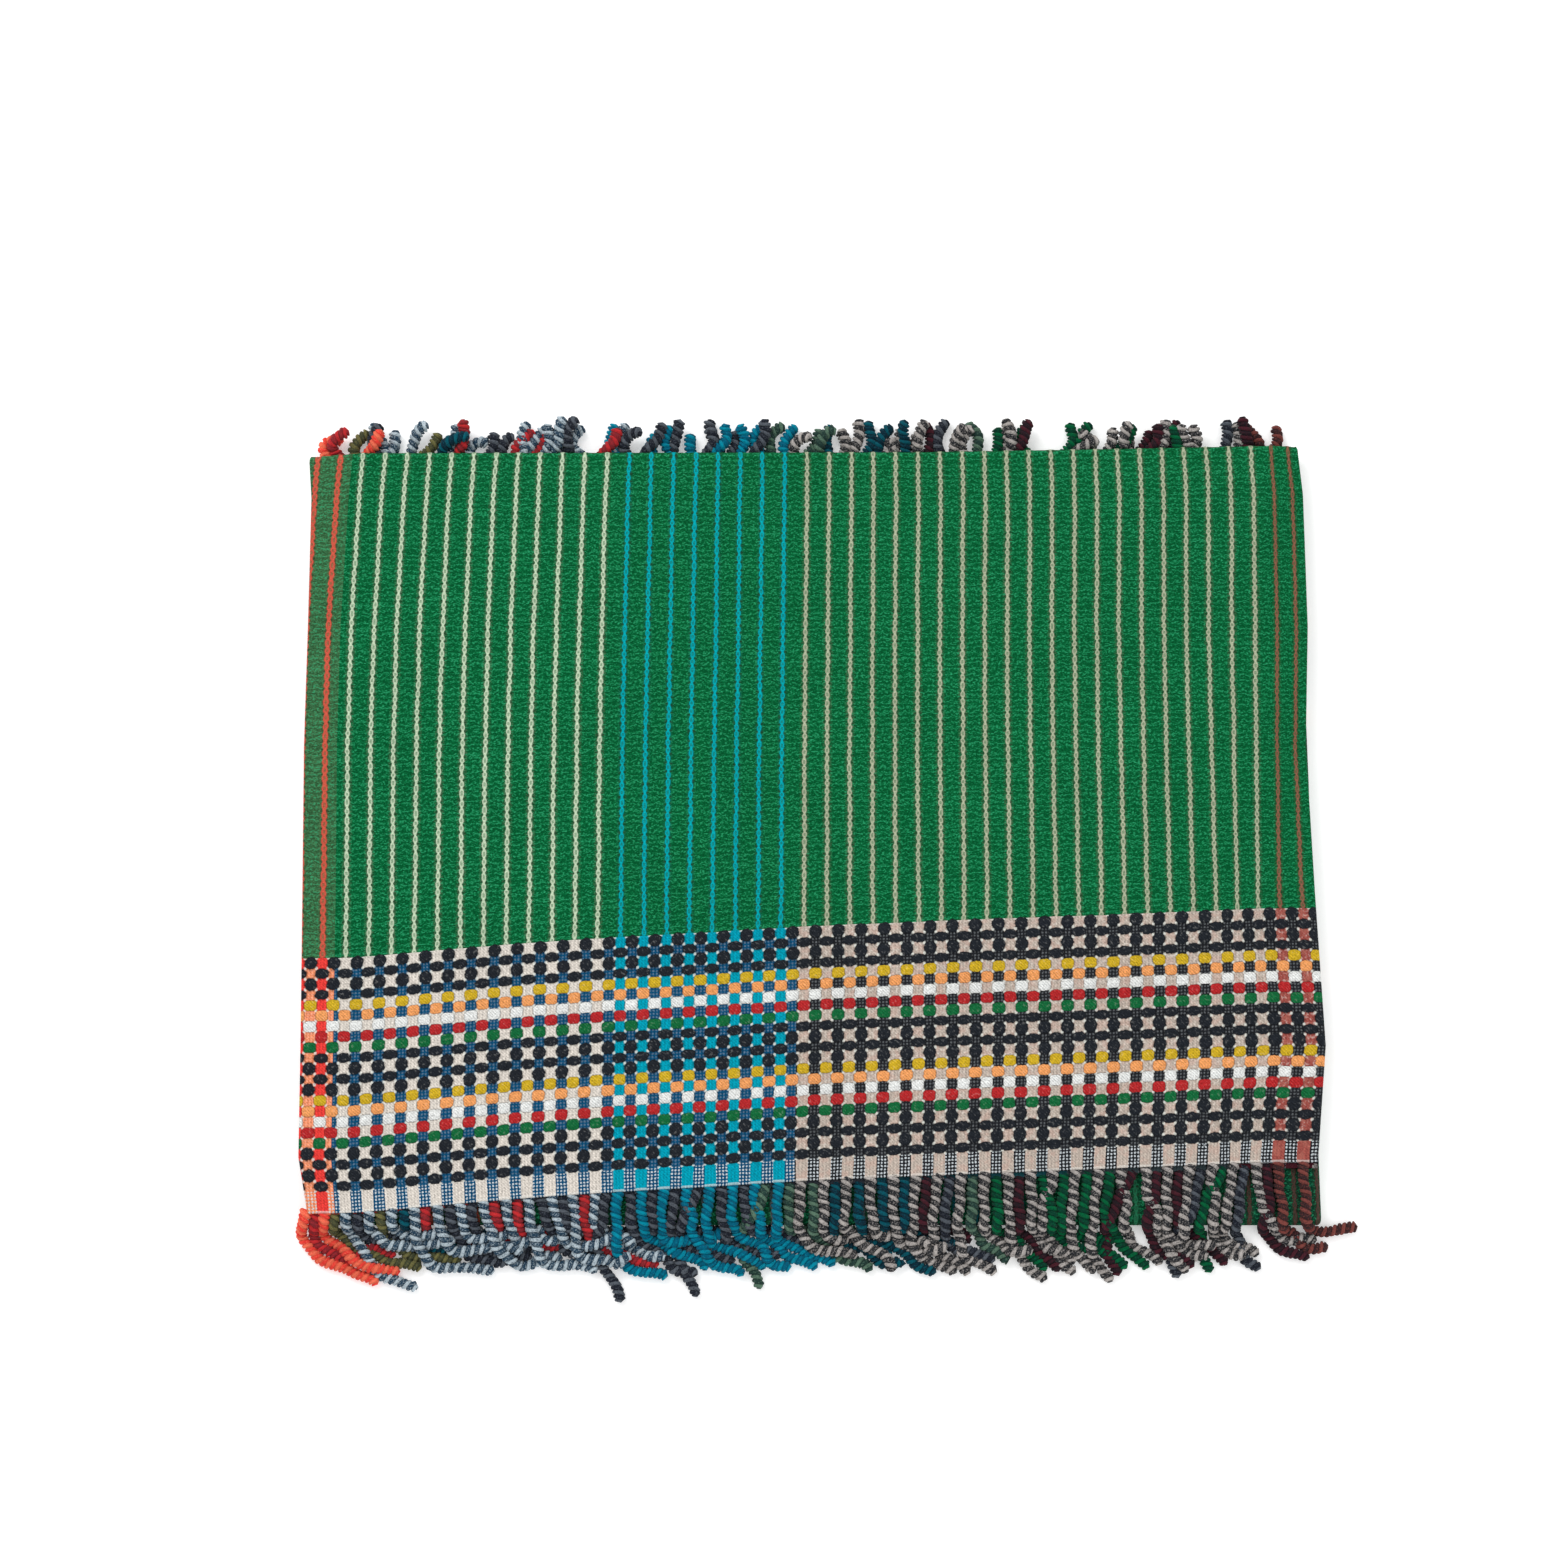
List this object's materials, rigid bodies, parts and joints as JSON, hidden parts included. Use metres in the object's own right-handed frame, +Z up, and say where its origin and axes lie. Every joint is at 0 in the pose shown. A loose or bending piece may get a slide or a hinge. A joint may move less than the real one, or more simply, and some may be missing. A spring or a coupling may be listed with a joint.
{
  "type": "folded throw blanket",
  "caption": "Woven striped wool throw with checked bands and twisted fringes, folded in half and then in a zig-zag of panels that unfolds flat.",
  "frame": {"origin": "centre of the folded stack's underside, on the surface that it rests on", "axes": "+X along the fold lines towards the width fold, +Y towards the rear fold, +Z up"},
  "size_m": [0.7406, 0.6785, 0.0195],
  "materials": {
    "cloth": "matte",
    "yarn_scarlet": "matte",
    "yarn_cream": "matte",
    "yarn_turquoise": "matte",
    "yarn_taupe": "matte",
    "yarn_rust": "matte",
    "yarn_brick": "matte",
    "yarn_olive": "matte",
    "yarn_slate": "matte",
    "yarn_teal": "matte",
    "yarn_sage": "matte",
    "yarn_green": "matte",
    "yarn_burgundy": "matte"
  },
  "bodies": {
    "bottom_panel": {"bottom_panel_cloth": "cloth", "front_fold_inner": "cloth", "front_fold_outer": "cloth", "rear_fringe_scarlet": "yarn_scarlet", "rear_fringe_cream": "yarn_cream", "rear_fringe_turquoise": "yarn_turquoise", "rear_fringe_taupe": "yarn_taupe", "rear_fringe_rust": "yarn_rust", "rear_lining_fringe_brick": "yarn_brick", "rear_lining_fringe_olive": "yarn_olive", "rear_lining_fringe_slate": "yarn_slate", "rear_lining_fringe_teal": "yarn_teal", "rear_lining_fringe_sage": "yarn_sage", "rear_lining_fringe_green": "yarn_green", "rear_lining_fringe_burgundy": "yarn_burgundy"},
    "middle_panel": {"middle_panel_cloth": "cloth", "rear_fold_inner": "cloth", "rear_fold_outer": "cloth"},
    "top_panel": {"top_panel_cloth": "cloth", "front_fringe_scarlet": "yarn_scarlet", "front_fringe_cream": "yarn_cream", "front_fringe_turquoise": "yarn_turquoise", "front_fringe_taupe": "yarn_taupe", "front_fringe_rust": "yarn_rust", "front_lining_fringe_brick": "yarn_brick", "front_lining_fringe_olive": "yarn_olive", "front_lining_fringe_slate": "yarn_slate", "front_lining_fringe_teal": "yarn_teal", "front_lining_fringe_sage": "yarn_sage", "front_lining_fringe_green": "yarn_green", "front_lining_fringe_burgundy": "yarn_burgundy"}
  },
  "joints": [
    {"name": "front_fold", "type": "hinge", "parent": "bottom_panel", "child": "middle_panel", "pos_m": [0, -0.28, 0.00645], "axis": [1, 0, 0], "range_deg": [0, 180], "deforming": ["front_fold_inner", "front_fold_outer"]},
    {"name": "rear_fold", "type": "hinge", "parent": "middle_panel", "child": "top_panel", "pos_m": [0, 0.28, 0.01305], "axis": [1, 0, 0], "range_deg": [-180, 0], "deforming": ["rear_fold_inner", "rear_fold_outer"]}
  ],
  "couplings": [
    {"joint": "rear_fold", "follows": "front_fold", "ratio": -1}
  ]
}
